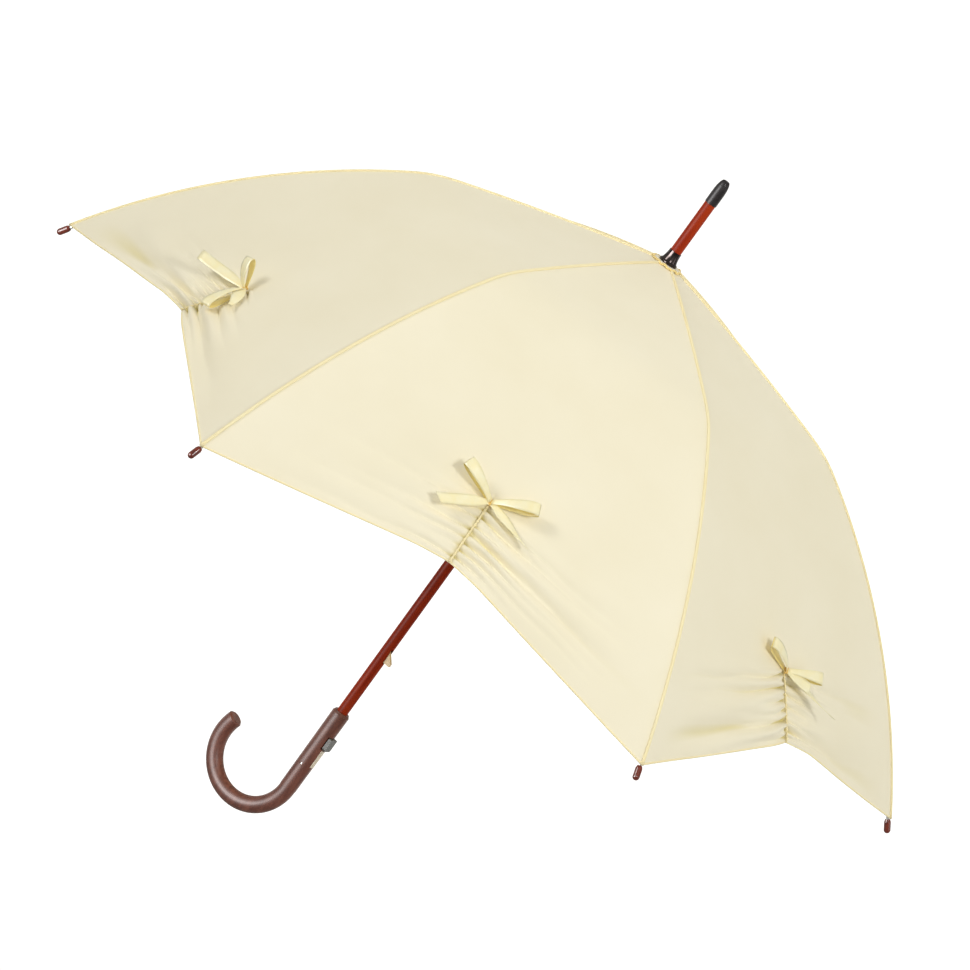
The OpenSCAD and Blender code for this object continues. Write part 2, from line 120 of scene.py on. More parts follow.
def arc_length(a, b, slope_a, slope_b):
    """Length of the arc between two points of a rib's profile."""
    chord = math.hypot((b[0] - a[0]) / NARROW, b[1] - a[1])
    turn = math.radians(slope_b - slope_a)
    return chord * (turn / 2) / math.sin(turn / 2)


INNER = arc_length(CROWN, FOLD, SLOPES[0], SLOPES[1])
OUTER = arc_length(FOLD, CORNER, SLOPES[2], SLOPES[3])
LENGTH = INNER + OUTER


def smooth(t):
    t = min(max(t, 0.0), 1.0)
    return t * t * (3 - 2 * t)


def slope_at(s):
    """Slope over a rib at a length from the crown, eased over the knuckle."""
    inner = SLOPES[0] + (SLOPES[1] - SLOPES[0]) * min(s / INNER, 1)
    outer = SLOPES[2] + (SLOPES[3] - SLOPES[2]) * max((s - INNER) / OUTER, 0)
    mix = smooth((s - INNER + SOFTEN) / (2 * SOFTEN))
    return math.radians(inner + (outer - inner) * mix)


def run_profile(count=920):
    """Points of a rib's profile at even lengths, closed onto the frame's corner."""
    step = LENGTH / count
    r, z = CROWN[0] / NARROW, CROWN[1]
    points = [(r, z)]
    for i in range(count):
        a = slope_at((i + 0.5) * step)
        r, z = r + step * math.cos(a), z - step * math.sin(a)
        points.append((r, z))
    off_r, off_z = CORNER[0] / NARROW - r, CORNER[1] - z
    return [(p[0] + off_r * i / count, p[1] + off_z * i / count) for i, p in enumerate(points)]


PROFILE = run_profile()


def rib_point(s):
    """Distance from the shaft and height of the cloth over a rib."""
    f = min(max(s / LENGTH, 0), 1) * (len(PROFILE) - 1)
    i = min(int(f), len(PROFILE) - 2)
    a, b, t = PROFILE[i], PROFILE[i + 1], f - int(f) if int(f) == i else 1.0
    return a[0] + (b[0] - a[0]) * t, a[1] + (b[1] - a[1]) * t


def length_at_x(x):
    """Length along a rib at which the cloth is x out in a panel's middle plane."""
    low, high = 0.0, LENGTH
    for _ in range(30):
        mid = (low + high) / 2
        low, high = (mid, high) if rib_point(mid)[0] * NARROW < x else (low, mid)
    return (low + high) / 2


def hem_length(u):
    """Length along a rib at which the hem runs, u from -1 to 1 across a panel."""
    return length_at_x(CORNER[0] - HEM_NOTCH * (1 - abs(u)))


def gather_across(k, h):
    """How far across its panel a gather lies, at a height over the hem."""
    high, at_hem, at_bow = GATHERS[k]
    part = min(max(h / high, 0), 1)
    return (at_hem + (at_bow - at_hem) * part) * (1 - smooth((h - high) / 0.09))


def place_across(s, u):
    """How far across its panel the cloth lies at a length, u from -1 to 1."""
    return u * rib_point(s)[0] * NARROW * SPREAD


def frame_at(k, s, across=0.0):
    """Point on panel k's smooth surface, with its axes: across, down the slope, outward."""
    r, z = rib_point(s)
    slope = math.atan(math.tan(slope_at(s)) / NARROW)
    a = panel_angle(k)
    out = Vector((math.cos(a), math.sin(a), 0))
    across_axis = Vector((-math.sin(a), math.cos(a), 0))
    down = out * math.cos(slope) - Vector((0, 0, math.sin(slope)))
    normal = out * math.sin(slope) + Vector((0, 0, math.cos(slope)))
    point = out * (r * NARROW) + across_axis * across + Vector((0, 0, z))
    return point, across_axis, down, normal


# ------------------------------------------------------------------ materials

def srgb(r, g, b):
    """Linear colour from a screen colour of 0 to 255."""
    def one(c):
        c /= 255
        return c / 12.92 if c <= 0.04045 else ((c + 0.055) / 1.055) ** 2.4
    return (one(r), one(g), one(b), 1.0)


class Paint:
    """A node material under construction."""

    def __init__(self, name, rough, **sockets):
        self.material = bpy.data.materials.new(name)
        self.material.use_nodes = True
        self.tree = self.material.node_tree
        self.shader = self.tree.nodes["Principled BSDF"]
        self.set("Roughness", rough)
        for key, value in sockets.items():
            self.set(key.replace("_", " "), value)

    def set(self, socket, value):
        self.shader.inputs[socket].default_value = value

    def node(self, kind, **values):
        made = self.tree.nodes.new(kind)
        for key, value in values.items():
            if key in made.inputs:
                made.inputs[key].default_value = value
            else:
                setattr(made, key, value)
        return made

    def link(self, a, b):
        self.tree.links.new(a, b)

    def place(self, scale=(1, 1, 1), uv=False):
        """Coordinates in metres, scaled."""
        source = self.node("ShaderNodeTexCoord").outputs["UV" if uv else "Object"]
        mapping = self.node("ShaderNodeMapping")
        mapping.inputs["Scale"].default_value = scale
        self.link(source, mapping.inputs["Vector"])
        return mapping.outputs["Vector"]

    def noise(self, scale, coords, detail=3.0):
        made = self.node("ShaderNodeTexNoise", Scale=scale, Detail=detail)
        self.link(coords, made.inputs["Vector"])
        return made.outputs["Fac"]

    def ramp(self, fac, stops):
        made = self.node("ShaderNodeValToRGB")
        elements = made.color_ramp.elements
        while len(elements) < len(stops):
            elements.new(0.5)
        for element, (at, colour) in zip(elements, stops):
            element.position, element.color = at, colour
        self.link(fac, made.inputs["Fac"])
        return made.outputs["Color"]

    def colour(self, fac, stops):
        self.link(self.ramp(fac, stops), self.shader.inputs["Base Color"])

    def roughness(self, fac, low, high):
        made = self.node("ShaderNodeMapRange")
        made.inputs["To Min"].default_value = low
        made.inputs["To Max"].default_value = high
        self.link(fac, made.inputs["Value"])
        self.link(made.outputs["Result"], self.shader.inputs["Roughness"])

    def bump(self, height, strength, distance):
        made = self.node("ShaderNodeBump", Strength=strength, Distance=distance)
        self.link(height, made.inputs["Height"])
        self.link(made.outputs["Normal"], self.shader.inputs["Normal"])


def woven(name, light, dark, rough, thread=0.0004, strength=0.35, sheen=0.25, crease_shade_colour=None):
    """Plain weave over slow random tone changes, mixed towards a painted shade colour by the crease
    attribute, fully so down in a deep crease.
    """
    p = Paint(name, rough, Sheen_Weight=sheen, Sheen_Roughness=0.5, Specular_IOR_Level=0.12)
    coords = p.place(uv=True)
    shade = p.ramp(p.noise(9, coords, 4), [(0.3, dark), (0.7, light)])
    # Painted shade: the crease attribute mixes the cloth colour towards a darker, yellower colour that
    # stands in for the shade and the light through the cloth in the folds.
    if crease_shade_colour:
        deep = p.node("ShaderNodeAttribute", attribute_name="crease")
        mix = p.node("ShaderNodeMix", data_type="RGBA", blend_type="MIX")
        p.link(deep.outputs["Fac"], mix.inputs["Factor"])
        p.link(shade, mix.inputs["A"])
        mix.inputs["B"].default_value = crease_shade_colour
        shade = mix.outputs["Result"]
    p.link(shade, p.shader.inputs["Base Color"])
    warp = p.node("ShaderNodeTexWave", Scale=0.5 / thread, bands_direction="X")
    weft = p.node("ShaderNodeTexWave", Scale=0.5 / thread, bands_direction="Y")
    both = p.node("ShaderNodeMath", operation="MULTIPLY")
    for wave, slot in ((warp, 0), (weft, 1)):
        p.link(coords, wave.inputs["Vector"])
        p.link(wave.outputs["Fac"], both.inputs[slot])
    p.bump(both.outputs["Value"], strength, 0.0001)
    p.roughness(p.noise(60, coords), rough - 0.05, rough + 0.08)
    return p.material


def satin(name, light, dark):
    """Ribbon satin: fine lines along the ribbon, with a soft shine."""
    p = Paint(name, 0.34, Sheen_Weight=0.4, Sheen_Roughness=0.3, Specular_IOR_Level=0.5,
              Coat_Weight=0.12, Coat_Roughness=0.3)
    coords = p.place(uv=True)
    p.colour(p.noise(70, coords), [(0.35, dark), (0.65, light)])
    lines = p.node("ShaderNodeTexWave", Scale=1500, bands_direction="X")
    p.link(coords, lines.inputs["Vector"])
    p.bump(lines.outputs["Fac"], 0.25, 0.00005)
    p.roughness(p.noise(200, coords), 0.26, 0.4)
    return p.material


def lacquer(name, light, dark, rough, grain, coat=0.25, coat_rough=0.08, ripple=0.1, shine=0.25):
    """Glossy paint or plastic over a drawn-out grain."""
    p = Paint(name, rough, Coat_Weight=coat, Coat_Roughness=coat_rough, Specular_IOR_Level=shine)
    coords = p.place(grain)
    p.colour(p.noise(1, coords, 5), [(0.32, dark), (0.68, light)])
    p.roughness(p.noise(240, p.place()), rough - 0.05, rough + 0.1)
    p.bump(p.noise(1, coords, 5), ripple, 0.00008)
    return p.material


def metal(name, light, dark, rough, grain=(900, 900, 60)):
    """Plated or polished metal with fine drawing lines."""
    p = Paint(name, rough, Metallic=1.0)
    coords = p.place(grain)
    p.colour(p.noise(1, coords), [(0.3, dark), (0.7, light)])
    p.roughness(p.noise(1, coords, 5), rough - 0.06, rough + 0.12)
    p.bump(p.noise(1, coords, 5), 0.08, 0.00003)
    return p.material


MAT = {
    # The cloth's third colour is painted shade for the creases round each gather.
    "cloth": woven("cream_cloth", srgb(251, 244, 219), srgb(247, 239, 211), 0.72,
                   crease_shade_colour=srgb(226, 214, 150)),
    "piping": woven("seam_binding", srgb(255, 245, 203), srgb(252, 236, 184), 0.6, 0.0005),
    "overlock": woven("overlock_thread", srgb(255, 236, 168), srgb(248, 218, 138), 0.6, 0.0006),
    "ribbon": satin("ribbon_satin", srgb(255, 249, 212), srgb(254, 242, 188)),
    # Painted light: a yellower copy of the ribbon satin for the inner layer of each loop, standing in for
    # light shining through the satin.
    "ribbon_shade": satin("ribbon_painted_light_through", srgb(255, 240, 168), srgb(250, 226, 132)),
    # Painted shade: a darker, more orange copy of the ribbon satin for the knot, standing in for the shade
    # in its tight wrap.
    "knot": satin("ribbon_knot_painted_shade", srgb(246, 210, 118), srgb(220, 172, 74)),
    "shaft": lacquer("red_brown_lacquer", srgb(176, 58, 20), srgb(146, 38, 9), 0.4, (420, 420, 22),
                     coat=0.12, coat_rough=0.42, ripple=0.01, shine=0.03),
    "handle": lacquer("mauve_brown_gloss", srgb(132, 78, 62), srgb(102, 54, 40), 0.4, (260, 260, 70),
                      coat=0.8, coat_rough=0.42, ripple=0.01, shine=0.1),
    "tip": lacquer("tip_lacquer", srgb(132, 46, 20), srgb(88, 22, 8), 0.25, (500, 500, 80),
                   coat=0.8, coat_rough=0.1),
    "black": lacquer("ferrule_plastic", srgb(42, 37, 39), srgb(28, 24, 26), 0.42, (300, 300, 300), 0.08),
    "grey": lacquer("button_plastic", srgb(104, 103, 98), srgb(88, 87, 82), 0.42, (400, 400, 400), 0.1),
    "plate": lacquer("plate_plastic", srgb(240, 230, 212), srgb(228, 214, 190), 0.35, (300, 300, 300), 0.2),
    "runner": lacquer("runner_plastic", srgb(96, 40, 26), srgb(70, 26, 16), 0.3, (300, 300, 60), 0.3),
    "gunmetal": metal("dark_cap_metal", srgb(84, 76, 74), srgb(46, 41, 41), 0.14),
    "steel": metal("nickel_plate", srgb(205, 203, 198), srgb(172, 170, 166), 0.28),
    "brass": lacquer("pale_brass_lacquer", srgb(246, 216, 166), srgb(232, 198, 140), 0.4, (500, 500, 60),
                     0.12, 0.3, 0.01),
}


def finish_node(node, material):
    """Gives a CAD node its material."""
    data = frame["nodes"][node].data
    data.materials.clear()
    data.materials.append(MAT[material])


def finish_frame():
    plain = {"shaft": "shaft", "ferrule": "black", "crown_cap": "gunmetal", "crown_rosette": "cloth",
             "top_notch": "steel", "notch_wire": "steel", "spring_anchor_pin": "steel",
             "opening_spring": "steel", "runner": "runner", "runner_wire": "steel",
             "runner_pin": "steel", "handle": "handle", "handle_pin": "steel",
             "push_button": "grey", "button_plate": "plate", "catch_spring": "brass",
             "closing_strap": "cloth"}
    for k in range(1, RIBS + 1):
        plain.update({f"rib_{k}_inner": "steel", f"rib_{k}_outer": "steel",
                      f"stretcher_{k}": "steel", f"rib_{k}_tip": "tip", f"bow_{k}": "ribbon",
                      f"canopy_{k}_upper": "cloth", f"canopy_{k}_lower": "cloth"})
    for node, material in plain.items():
        finish_node(node, material)


# ------------------------------------------------------------------ mesh helpers

def make_mesh(name, points, faces, material, uvs=None, shade=True):
    """A mesh object; uvs gives one pair in metres for each point."""
    data = bpy.data.meshes.new(name)
    data.from_pydata([tuple(p) for p in points], [], faces)
    data.materials.append(MAT[material])
    if uvs:
        layer = data.uv_layers.new(name="metres")
        for loop in data.loops:
            layer.data[loop.index].uv = uvs[loop.vertex_index]
    data.polygons.foreach_set("use_smooth", [shade] * len(data.polygons))
    data.update()
    made = bpy.data.objects.new(name, data)
    bpy.context.scene.collection.objects.link(made)
    return made


def grid(name, rows, material, uvs):
    """A sheet from rows of points."""
    wide = len(rows[0])
    points = [p for row in rows for p in row]
    faces = [(i * wide + j, i * wide + j + 1, (i + 1) * wide + j + 1, (i + 1) * wide + j)
             for i in range(len(rows) - 1) for j in range(wide - 1)]
    return make_mesh(name, points, faces, material, [uv for row in uvs for uv in row])


def thicken(piece, thickness, rim=True):
    made = piece.modifiers.new("thickness", "SOLIDIFY")
    made.thickness, made.offset, made.use_rim = thickness, 0.0, rim
    return piece


def tube_faces(rings, sides):
    """Faces of a tube whose points are laid out ring by ring, with both ends closed."""
    last = rings - 1
    faces = []
    for i in range(last):
        for j in range(sides):
            k = (j + 1) % sides
            faces.append((i * sides + j, i * sides + k, (i + 1) * sides + k, (i + 1) * sides + j))
    faces.append(tuple(range(sides))[::-1])
    faces.append(tuple(last * sides + j for j in range(sides)))
    return faces


def tube(name, path, radii, material, sides=10, squeeze=1.0, normals=None):
    """A closed tube along a path, flattened by squeeze along each normal."""
    points, uvs = [], []
    run = 0.0
    for i, p in enumerate(path):
        ahead = path[min(i + 1, len(path) - 1)] - path[max(i - 1, 0)]
        run += (p - path[i - 1]).length if i else 0
        t = ahead.normalized()
        up = normals[i] if normals else Vector((0, 0, 1))
        side = t.cross(up).normalized()
        up = side.cross(t)
        for j in range(sides):
            a = 2 * math.pi * j / sides
            points.append(p + side * math.cos(a) * radii[i] + up * math.sin(a) * radii[i] * squeeze)
            uvs.append((radii[i] * a, run))
    return make_mesh(name, points, tube_faces(len(path), sides), material, uvs)


def strip(name, path, sides, widths, material="ribbon", thickness=0.0003):
    """A ribbon along a path: sides are its width directions, widths its widths."""
    rows, uvs, run = [], [], 0.0
    for i, p in enumerate(path):
        run += (p - path[i - 1]).length if i else 0
        half = sides[i].normalized() * widths[i] / 2
        spots = [-1, -0.5, 0, 0.5, 1]
        rows.append([p + half * x for x in spots])
        uvs.append([(widths[i] / 2 * x, run) for x in spots])
    return thicken(grid(name, rows, material, uvs), thickness)


def bezier(a, b, c, d, count):
    """Points along a cubic curve."""
    return [a * (1 - t) ** 3 + b * 3 * t * (1 - t) ** 2 + c * 3 * t * t * (1 - t) + d * t ** 3
            for t in (i / (count - 1) for i in range(count))]


# ------------------------------------------------------------------ canopy panels

# Radii of the tubes that stand for the rolled hem and the piping over a seam.
HEM_R = 0.0008
PIPING_R = 0.0013

# The lower cloth has close rows from this share of its length down to the hem.
FINE_FROM = 0.70
FINE_ROWS = 120

# Depths and heights, in metres, of the cloth's shape round a gather.
CREASE_DEPTH = 0.0017
RIDGE_HEIGHT = 0.0008
PINCH_DEPTH = 0.0008
SEAM_DEPTH = 0.0022
BELLY_HEIGHT = 0.0042
WANDER = 0.0006

# A crease this deep gets the whole of the painted crease shade.
FULL_CREASE_SHADE = 0.004

PUCKERS = {k: random.Random(40 + k) for k in range(1, RIBS + 1)}


def columns():
    """Places across a panel from -1 to 1, closest round the gather."""
    half = [0, 0.004, 0.009, 0.015, 0.022, 0.030, 0.040, 0.052, 0.066, 0.082, 0.10, 0.12, 0.145]
    half += [0.17 + 0.036 * i for i in range(23)]
    half += [0.985, 1.0]
    return [-u for u in reversed(half[1:])] + half


COLUMNS = columns()


def spread_rows(start, end, first, growth, most):
    """Lengths from start towards end with growing steps, ending on end."""
    out, at, step = [start], start, first
    way = 1 if end > start else -1
    while abs(end - at) > 1.5 * step:
        at += way * step
        out.append(at)
        step = min(step * growth, most)
    return out + [end]


# How strong, how long and how closely spaced the creases are on each side of a gather.
FOLDS = {1: ((2.1, 0.13, 0.0068), (1.3, 0.05, 0.0105)), 2: ((0.9, 0.11, 0.0088), (1.3, 0.12, 0.0088)),
         3: ((1.9, 0.16, 0.0095), (1.5, 0.11, 0.0105)), 4: ((1.5, 0.10, 0.0080), (1.4, 0.09, 0.0080)),
         5: ((1.4, 0.11, 0.0075), (1.5, 0.10, 0.0085)), 6: ((1.3, 0.10, 0.0085), (1.6, 0.12, 0.0075))}

# The deepest creases, that run beside the hem: side, place, depth, width and reach.
DEEP_FOLDS = {1: [(1, 0.012, 2.4, 0.0014, 0.10), (-1, 0.016, 2.6, 0.0013, 0.16)],
              2: [(1, 0.030, 1.7, 0.0010, 0.12)],
              3: [(1, 0.010, 2.4, 0.0015, 0.14), (-1, 0.018, 2.0, 0.0015, 0.17)]}


def fold_shapes(k):
    """Random creases of a panel's gather: side, place, depth, width and reach of each."""
    draw = PUCKERS[k]
    creases = []
    for side, (strong, far, step) in zip((-1, 1), FOLDS[k]):
        at = draw.uniform(0.004, 0.007)
        while at < GATHERS[k][0] + 0.004:
            long = draw.random() < 0.6
            creases.append((side, at, strong * draw.uniform(0.7, 1.2) * (1.2 if long else 0.8),
                            draw.uniform(0.0008, 0.0012),
                            far * draw.uniform(0.7, 1.2) if long else far * draw.uniform(0.15, 0.4)))
            at += step * draw.uniform(0.75, 1.25)
    return creases + DEEP_FOLDS.get(k, [])


def gather_height(k, creases, t, h):
    """Height of the gathered cloth over the smooth surface, t across and h up from the hem."""
    away = abs(t)
    half = CORNER[0] * SPREAD
    line = h / (1 + 0.35 * smooth(away / half))
    total = 0.0
    for side, at, deep, width, reach in creases:
        share = smooth(0.5 + 0.5 * side * t / 0.0012)
        if share == 0.0:
            continue
        wide = width * (1 + away / 0.03)
        off = abs(line - at - WANDER * math.sin(away / 0.011 + at * 900)) / wide
        fade = math.exp(-((away / reach) ** 1.6))
        total -= share * CREASE_DEPTH * deep * fade * math.exp(-off * off / (0.6 + 0.4 * off))
        total += share * RIDGE_HEIGHT * deep * fade * math.exp(-((off - 2.6) / 1.5) ** 2)
        total -= share * PINCH_DEPTH * deep * math.exp(-(away / 0.004) ** 2 - off * off)
    within = 1 - smooth((h - GATHERS[k][0]) / 0.012)
    seam = SEAM_DEPTH * math.exp(-(away / 0.0030) ** 1.2) * within
    belly = BELLY_HEIGHT * smooth(away / 0.030) * math.exp(-(away / 0.10) ** 2)
    belly *= 1 - smooth(h / 0.11)
    return total + belly - seam


def edge_fade(u):
    """Lets the folds die out before a panel's side seams."""
    return 1 - smooth((abs(u) - 0.62) / 0.33)


def make_panel(k):
    """The two halves of a panel's cloth. They meet where the rib has its knuckle."""
    shapes = fold_shapes(k)
    creases = []
    top_rows = [0.0] + spread_rows(INNER - 0.0008, 0.0, 0.004, 1.15, 0.012)[::-1][1:] + [INNER]
    share = [0.0, 0.006, 0.03, 0.06, 0.10] + [0.14 + 0.055 * i for i in range(10)]
    share += [FINE_FROM + (1 - FINE_FROM) * i / FINE_ROWS for i in range(FINE_ROWS + 1)]

    def point(s, u, shaped):
        t = place_across(s, u)
        h = hem_length(u) - s
        across = t + gather_across(k, h) * (1 - abs(u)) if shaped else t
        p, _, _, normal = frame_at(k, s, across)
        lift = gather_height(k, shapes, t, h) * edge_fade(u) if shaped else 0.0
        # Depth of the crease at this point, kept for the painted crease shade.
        creases.append(max(0.0, -lift) if shaped else 0.0)
        return p + normal * (lift - CLOTH), across

    def build(name, lengths_at, count, shaped):
        creases.clear()
        rows, uvs = [], []
        for i in range(count):
            row, uv = [], []
            for u in COLUMNS:
                s = lengths_at(i, u)
                p, across = point(s, u, shaped)
                row.append(p)
                uv.append((across, s))
            rows.append(row)
            uvs.append(uv)
        made = grid(name, rows, "cloth", uvs)
        # The crease attribute takes each point's crease depth to the cloth material, which paints shade
        # from it.
        layer = made.data.attributes.new("crease", "FLOAT", "POINT")
        layer.data.foreach_set("value", [min(depth / FULL_CREASE_SHADE, 1.0) for depth in creases])
        return made

    hems = {u: hem_length(u) for u in COLUMNS}
    top = build(f"cloth_{k}_upper", lambda i, u: top_rows[i], len(top_rows), False)
    low = build(f"cloth_{k}_lower", lambda i, u: INNER + share[i] * (hems[u] - INNER),
                len(share), True)
    return shapes, top, low


def flat_area(s_from, s_to_at):
    """Flat area of a panel's half."""
    steps = 60
    total = 0.0
    for i in range(steps):
        u = -1 + (i + 0.5) * 2 / steps
        end = s_to_at(u)
        for j in range(20):
            s = s_from + (end - s_from) * (j + 0.5) / 20
            total += rib_point(s)[0] * NARROW * SPREAD * (2 / steps) * (end - s_from) / 20
    return total


def hold_cloth(k, top, low):
    """Thickness, bodies and folding; the flat area of each half is worked out but not kept."""
    for piece, body, node in ((top, "top", "upper"), (low, "hem", "lower")):
        thicken(piece, 2 * CLOTH, rim=False)
        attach(piece, f"panel_{k}_{body}")
        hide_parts(f"canopy_{k}_{node}")
        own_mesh(piece)
    flat_area(0, lambda u: INNER)
    flat_area(INNER, hem_length)


def make_hem(k, shapes):
    """The turned and stitched hem: a flattened tube along a panel's lower edge."""
    path, normals = [], []
    for u in COLUMNS:
        s = hem_length(u)
        t = place_across(s, u)
        p, _, down, normal = frame_at(k, s, t + gather_across(k, 0) * (1 - abs(u)))
        path.append(p + normal * gather_height(k, shapes, t, 0) * edge_fade(u) - down * 0.0005)
        normals.append(normal)
    made = tube(f"hem_{k}", path, [HEM_R] * len(path), "piping", 8, 0.6, normals)
    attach(made, f"panel_{k}_hem")
    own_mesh(made)


def make_gather(k):
    """The drawn-up channel from the hem to the bow, ruched along its cord."""
    end = hem_length(0)
    path, radii, normals = [], [], []
    count = 110
    for i in range(count + 1):
        h = GATHERS[k][0] * i / count
        p, _, _, normal = frame_at(k, end - h, gather_across(k, h))
        ruche = 0.5 + 0.5 * math.sin(2 * math.pi * h / 0.0036 + k)
        path.append(p + normal * (0.0001 + 0.0004 * ruche))
        radii.append(0.0005 + 0.0004 * ruche)
        normals.append(normal)
    made = tube(f"gather_{k}", path, radii, "piping", 10, 0.8, normals)
    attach(made, f"panel_{k}_hem")


def make_piping(k):
    """The piped seam over a rib, shaped to the rib's profile."""
    a = rib_angle(k)
    out = Vector((math.cos(a), math.sin(a), 0))
    path, normals = [], []
    count = 120
    for i in range(count + 1):
        s = LENGTH * i / count
        r, z = rib_point(s)
        slope = slope_at(s)
        normal = out * math.sin(slope) + Vector((0, 0, math.cos(slope)))
        path.append(out * r + Vector((0, 0, z)) + normal * 0.0003)
        normals.append(normal)
    made = tube(f"piping_{k}", path, [PIPING_R] * len(path), "piping", 12, 0.7, normals)
    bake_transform(made)


# ------------------------------------------------------------------ bows

# Width of the ribbon.
RIBBON = 0.009

# Ends of each bow's two loops and two tails, in millimetres: across, up the slope, outward.
BOWS = {
    1: ([(-4, 12, 20), (16, -33, 9)], [(-40, -18, 19), (28, -17, 8)]),
    2: ([(-30, 10, 15), (32, 12, 12)], [(-32, -26, 12), (40, -17, 10)]),
    3: ([(-34, 17, 7), (31, -3, 14)], [(14, -12, 13), (38, -31, 21)]),
    4: ([(-28, 12, 15), (30, 7, 17)], [(-30, -22, 10), (38, -16, 12)]),
    5: ([(-31, 8, 16), (29, 12, 14)], [(-34, -14, 11), (30, -24, 10)]),
    6: ([(-27, 14, 18), (31, 6, 13)], [(-30, -21, 9), (35, -15, 13)]),
}


# Points along one strip of a loop, and along a tail.
LOOP_POINTS = 12
TAIL_POINTS = 14


def ribbon_axes(reach, normal):
    """A ribbon's own axes: along it, across its width, and out of its face."""
    away = reach.normalized()
    side = away.cross(normal).normalized()
    return away, side, side.cross(away).normalized()


def make_bow(k):
    """A tied satin bow: two loops, two tails and a wrapped knot."""
    high = GATHERS[k][0]
    base, across, down, normal = frame_at(k, hem_length(0) - high, gather_across(k, high))
    up = -down
    origin = base + normal * 0.0022
    draw = random.Random(70 + k)

    def vector(v):
        return (across * v[0] + up * v[1] + normal * v[2]) / 1000

    pieces = []
    loops, tails = BOWS[k]
    for i, end in enumerate(loops):
        reach = vector(end)
        _, side, lift = ribbon_axes(reach, normal)
        fat = 0.0052 + draw.uniform(-0.0006, 0.0008)
        over = bezier(origin + lift * 0.0004, origin + reach * 0.35 + lift * fat * 1.25,
                      origin + reach * 0.98 + lift * fat * 0.95, origin + reach, LOOP_POINTS)
        under = bezier(origin + reach, origin + reach - lift * fat * 0.75,
                       origin + reach * 0.5 - lift * fat * 0.55, origin - lift * 0.0006, LOOP_POINTS)
        lean = draw.uniform(-0.25, 0.25)
        for face, path in (("outside", over), ("inside", under[::-1])):
            last = len(path) - 1
            widths = [RIBBON * (0.42 + 0.58 * smooth(1.4 * j / last)) for j in range(last + 1)]
            sides = [side + lift * lean * j / last for j in range(last + 1)]
            # The inner layers of the loops take the painted light-through copy of the ribbon colour.
            pieces.append(strip(f"bow_{k}_loop_{i + 1}_{face}", path, sides, widths,
                                "ribbon" if face == "outside" else "ribbon_shade"))
    for i, end in enumerate(tails):
        reach = vector(end)
        away, side, lift = ribbon_axes(reach, normal)
        wave = draw.uniform(0.0015, 0.0035)
        path = bezier(origin, origin + reach * 0.3 + lift * wave,
                      origin + reach * 0.7 - lift * wave * 0.4, origin + reach, TAIL_POINTS)
        turn = draw.uniform(0.9, 1.2) if i else draw.uniform(-0.35, 0.1)
        last = TAIL_POINTS - 1
        sides = [side * math.cos(turn * j / last) + lift * math.sin(turn * j / last)
                 for j in range(TAIL_POINTS)]
        end_share = 0.35 if i else 1.0
        widths = [RIBBON * (0.4 + 0.6 * smooth(j / 5)) * (1 - (1 - end_share) * smooth((j - 6) / 7))
                  for j in range(TAIL_POINTS)]
        made = strip(f"bow_{k}_tail_{i + 1}", path, sides, widths)
        cut_end(made, away)
        pieces.append(made)
    pieces.append(make_knot(k, origin, across, up, normal))
    for piece in pieces:
        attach(piece, f"panel_{k}_hem")
    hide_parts(f"bow_{k}")


def cut_end(tail, away):
    """Cuts a tail's end on the slant."""
    last = tail.data.vertices[-5:]
    for i, v in enumerate(last):
        v.co += away * (0.0022 * (i / 4 - 0.5))


def make_knot(k, centre, across, up, normal):
    """The ribbon's wrap round the middle of the bow, pulled in at its waist."""
    points, uvs = [], []
    rings, sides = 11, 18
    for i in range(rings):
        x = -1 + 2 * i / (rings - 1)
        wide = 0.0019 * (1 - 0.22 * math.cos(math.pi * x)) * math.sqrt(max(1 - 0.55 * x * x, 0.05))
        for j in range(sides):
            a = 2 * math.pi * j / sides
            crease = 1 + 0.06 * math.sin(5 * a + k) * (1 - x * x)
            points.append(centre + up * x * 0.0024 + across * math.cos(a) * wide * crease
                          + normal * math.sin(a) * wide * 0.85 * crease)
            uvs.append((a * 0.003, x * 0.0031))
    # The knot takes the darker copy of the ribbon colour, which is painted shade.
    return make_mesh(f"bow_{k}_knot", points, tube_faces(rings, sides), "knot", uvs)


def make_rosette_edge():
    """The stitched, slightly wavy edge of the cloth rosette under the cap."""
    low, high = (Vector(c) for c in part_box("crown_rosette"))
    radius, z = (high.x - low.x) / 2, (high.z + low.z) / 2
    path, normals = [], []
    count = 96
    for i in range(count + 1):
        a = 2 * math.pi * i / count
        path.append(Vector((math.cos(a) * radius, math.sin(a) * radius,
                            z + 0.0004 * math.sin(9 * a) + 0.0003 * math.sin(14 * a + 1))))
        normals.append(Vector((0, 0, 1)))
    made = tube("rosette_edge", path, [0.0011] * (count + 1), "overlock", 8, 0.8, normals)
    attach(made, "pole")


def make_canopy():
    for k in range(1, RIBS + 1):
        shapes, top, low = make_panel(k)
        hold_cloth(k, top, low)
        make_hem(k, shapes)
        make_gather(k)
        make_piping(k)
        make_bow(k)


# ------------------------------------------------------------------ camera, light and floor

# The camera's tilt and roll in radians, its distance and sideways offsets in metres, and its lens in mm.
VIEW_DOWN = 0.2136
VIEW_ROLL = -0.6263
VIEW_FAR = 4.592
VIEW_SHIFT = (0.1357, 0.1648)
LENS = 227.7
WORLD_GLOW = 0.5
FLOOR_GLOW = 0.75
FLOOR_DROP = 0.75
FLOOR_HALF = 60

# Powers of the lights in watts.
KEY = 45
FILL = 30
TOP = 8
SIDE = 9
GLINT = 220


def turned(v):
    """A stage direction, laid out for a view along +Y, turned to face panel 2."""
    return Matrix.Rotation(panel_angle(2) + math.pi / 2, 3, "Z") @ Vector(v)


